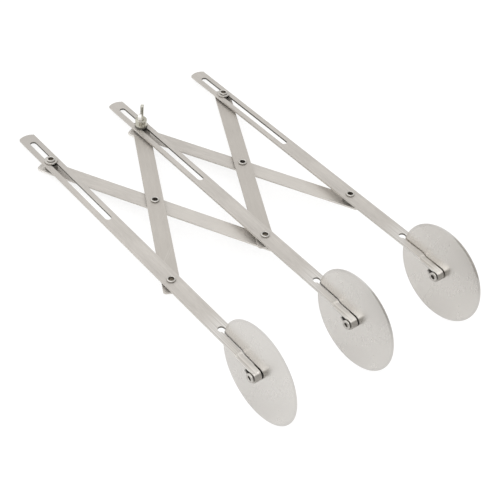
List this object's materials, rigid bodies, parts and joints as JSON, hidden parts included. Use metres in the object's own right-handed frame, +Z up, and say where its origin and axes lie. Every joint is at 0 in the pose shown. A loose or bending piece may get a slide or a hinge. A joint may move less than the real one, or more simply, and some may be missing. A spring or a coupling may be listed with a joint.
{
  "type": "expandable dough cutter",
  "caption": "Expandable dough cutter: plain round cutting wheels in rolled forks on slotted flat arms, spaced by a lazy-tongs linkage and locked by a wing nut.",
  "frame": {"origin": "middle of the bounding box on the surface that the cutter stands on, on its wheels and the head of its lock bolt", "axes": "+Y from the wheels to the handle ends, +X along the wheels' axles to the arm that is on the right when the cutter is pushed from behind the handles, +Z up"},
  "size_m": [0.248, 0.4474, 0.1016],
  "materials": {
    "strip_steel": "satin",
    "wheel_steel": "fine satin",
    "rivet_steel": "satin",
    "plated_steel": "bright plated"
  },
  "bodies": {
    "middle_arm": {"arm_middle": "strip_steel", "axle_middle": "rivet_steel", "pivot_rivet_middle": "rivet_steel", "pivot_spacers_middle": "rivet_steel"},
    "lower_left_link": {"lower_link_left": "strip_steel", "slide_rivet_left": "rivet_steel", "slide_washer_left": "rivet_steel", "slide_spacer_left": "rivet_steel", "cross_rivet_left": "rivet_steel", "cross_spacer_left": "rivet_steel"},
    "upper_left_link": {"upper_link_left": "strip_steel", "lock_bolt": "plated_steel", "lock_spacers": "rivet_steel"},
    "left_arm": {"arm_left": "strip_steel", "axle_left": "rivet_steel", "pivot_rivet_left": "rivet_steel", "pivot_spacer_left": "rivet_steel"},
    "upper_right_link": {"upper_link_right": "strip_steel", "slide_rivet_right": "rivet_steel", "slide_washer_right": "rivet_steel", "slide_spacer_right": "rivet_steel", "cross_rivet_right": "rivet_steel", "cross_spacer_right": "rivet_steel"},
    "lower_right_link": {"lower_link_right": "strip_steel"},
    "right_arm": {"arm_right": "strip_steel", "axle_right": "rivet_steel", "pivot_rivet_right": "rivet_steel", "pivot_spacer_right": "rivet_steel"},
    "left_wheel": {"wheel_left": "wheel_steel"},
    "middle_wheel": {"wheel_middle": "wheel_steel"},
    "right_wheel": {"wheel_right": "wheel_steel"},
    "lock_washer": {"lock_washer": "plated_steel"},
    "wing_nut": {"wing_nut": "plated_steel"}
  },
  "joints": [
    {"name": "spread", "type": "hinge", "parent": "middle_arm", "child": "lower_left_link", "pos_m": [0, -0.04259, 0.03329], "axis": [0, 0.1301, 0.9915], "range_deg": [-21.9, 36.2]},
    {"name": "left_cross", "type": "hinge", "parent": "lower_left_link", "child": "upper_left_link", "pos_m": [-0.05575, 0.06443, 0.02348], "axis": [0, 0.1301, 0.9915], "range_deg": [-72.4, 43.8]},
    {"name": "left_pivot", "type": "hinge", "parent": "upper_left_link", "child": "left_arm", "pos_m": [-0.1115, -0.0415, 0.04162], "axis": [0, 0.1301, 0.9915], "range_deg": [-21.9, 36.2]},
    {"name": "middle_pivot", "type": "hinge", "parent": "middle_arm", "child": "upper_right_link", "pos_m": [0, -0.04205, 0.03745], "axis": [0, 0.1301, 0.9915], "range_deg": [-36.2, 21.9]},
    {"name": "right_cross", "type": "hinge", "parent": "upper_right_link", "child": "lower_right_link", "pos_m": [0.05575, 0.06388, 0.01931], "axis": [0, 0.1301, 0.9915], "range_deg": [-43.8, 72.4]},
    {"name": "right_pivot", "type": "hinge", "parent": "lower_right_link", "child": "right_arm", "pos_m": [0.1115, -0.0415, 0.04162], "axis": [0, 0.1301, 0.9915], "range_deg": [-36.2, 21.9]},
    {"name": "left_wheel_roll", "type": "hinge", "parent": "left_arm", "child": "left_wheel", "pos_m": [-0.1115, -0.17292, 0.0508], "axis": [1, 0, 0], "continuous": true},
    {"name": "middle_wheel_roll", "type": "hinge", "parent": "middle_arm", "child": "middle_wheel", "pos_m": [0, -0.17292, 0.0508], "axis": [1, 0, 0], "continuous": true},
    {"name": "right_wheel_roll", "type": "hinge", "parent": "right_arm", "child": "right_wheel", "pos_m": [0.1115, -0.17292, 0.0508], "axis": [1, 0, 0], "continuous": true},
    {"name": "wing_nut_turn", "type": "hinge", "parent": "upper_left_link", "child": "lock_washer", "pos_m": [0, 0.17147, 0.01376], "axis": [0, 0.1301, 0.9915], "range_deg": [0, 360]},
    {"name": "wing_nut_rise", "type": "slide", "parent": "lock_washer", "child": "wing_nut", "axis": [0, 0.1301, 0.9915], "range_m": [0, 0.001]}
  ],
  "couplings": [
    {"joint": "left_cross", "follows": "spread", "ratio": -2},
    {"joint": "left_pivot", "follows": "spread", "ratio": 1},
    {"joint": "middle_pivot", "follows": "spread", "ratio": -1},
    {"joint": "right_cross", "follows": "spread", "ratio": 2},
    {"joint": "right_pivot", "follows": "spread", "ratio": -1},
    {"joint": "wing_nut_rise", "follows": "wing_nut_turn", "m_per_rad": 0.00015915}
  ]
}
